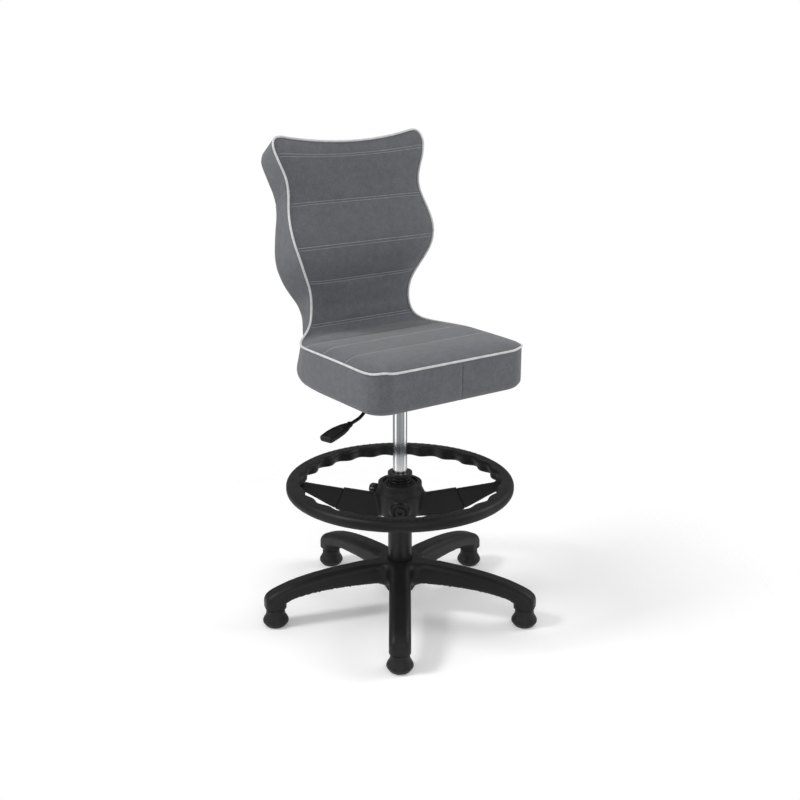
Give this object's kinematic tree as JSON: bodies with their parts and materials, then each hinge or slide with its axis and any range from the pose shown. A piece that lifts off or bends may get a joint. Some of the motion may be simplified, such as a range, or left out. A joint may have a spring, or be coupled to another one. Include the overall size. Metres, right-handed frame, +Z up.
{
  "type": "swivel chair",
  "caption": "Height-adjustable children's swivel chair with an upholstered seat and backrest, a gas lift, a release lever, a foot ring and a star base on glides.",
  "frame": {"origin": "middle of the footprint on the floor; the swivel axis stands 25 mm in front of it", "axes": "+Z up, -Y the way the sitter faces, +X to the sitter's left"},
  "size_m": [0.5702, 0.5455, 0.985],
  "materials": {
    "black_nylon": "satin, finely grained",
    "black_painted_steel": "satin powder coat",
    "plain_steel": "zinc plated",
    "chrome": "polished",
    "rubber": "matt",
    "plywood": "raw",
    "acetal": "matt",
    "grey_fabric": "fine woven upholstery fabric"
  },
  "bodies": {
    "base": {"base_star": "black_nylon", "glide_1": "black_nylon", "glide_2": "black_nylon", "glide_3": "black_nylon", "glide_4": "black_nylon", "glide_5": "black_nylon", "glide_pin_1": "plain_steel", "glide_pin_2": "plain_steel", "glide_pin_3": "plain_steel", "glide_pin_4": "plain_steel", "glide_pin_5": "plain_steel", "column_tube": "black_painted_steel", "guide_bushing": "black_nylon", "bearing_lower_race": "plain_steel", "rod_washer": "plain_steel"},
    "lift_rod": {"piston_rod": "plain_steel", "piston": "acetal", "bearing_cage": "acetal", "bearing_upper_race": "plain_steel", "bump_stop": "rubber", "rod_clip": "plain_steel"},
    "seat": {"gas_cylinder": "chrome", "seat_plate": "black_painted_steel", "plate_bolt_1": "plain_steel", "plate_bolt_2": "plain_steel", "plate_bolt_3": "plain_steel", "plate_bolt_4": "plain_steel", "tee_nut_1": "plain_steel", "tee_nut_2": "plain_steel", "tee_nut_3": "plain_steel", "tee_nut_4": "plain_steel", "seat_shell": "plywood", "seat_cushion": "grey_fabric", "back_cushion": "grey_fabric", "seat_underside": "grey_fabric", "back_rear_cover": "grey_fabric", "lever_bush": "acetal"},
    "release_pin": {"release_pin": "plain_steel"},
    "lever": {"lever_rod": "black_painted_steel", "lever_handle": "black_nylon"},
    "foot_ring": {"foot_ring": "black_nylon", "ring_hub": "black_nylon", "ring_clamp_screw": "black_painted_steel", "ring_clamp_shoe": "acetal"},
    "ring_knob": {"ring_knob": "black_nylon"}
  },
  "joints": [
    {"name": "seat_swivel", "type": "hinge", "parent": "base", "child": "lift_rod", "pos_m": [0, -0.025, 0.3], "axis": [0, 0, 1], "continuous": true},
    {"name": "seat_lift", "type": "slide", "parent": "lift_rod", "child": "seat", "axis": [0, 0, 1], "range_m": [-0.12, 0]},
    {"name": "lever_lift", "type": "hinge", "parent": "seat", "child": "lever", "pos_m": [-0.045, -0.025, 0.486], "axis": [0, 1, 0], "range_deg": [0, 3.2], "stiffness_Nm_per_rad": 3, "springref_deg": -4.58},
    {"name": "release_pin_press", "type": "slide", "parent": "seat", "child": "release_pin", "axis": [0, 0, -1], "range_m": [0, 0.003]},
    {"name": "foot_ring_height", "type": "slide", "parent": "base", "child": "foot_ring", "axis": [0, 0, 1], "range_m": [-0.09, 0]},
    {"name": "ring_knob_turn", "type": "hinge", "parent": "foot_ring", "child": "ring_knob", "pos_m": [-0.0318, 0.0259, 0.262], "axis": [-0.5299, 0.848, 0], "range_deg": [-360, 0]}
  ],
  "couplings": [
    {"joint": "release_pin_press", "follows": "lever_lift", "m_per_rad": 0.045}
  ]
}
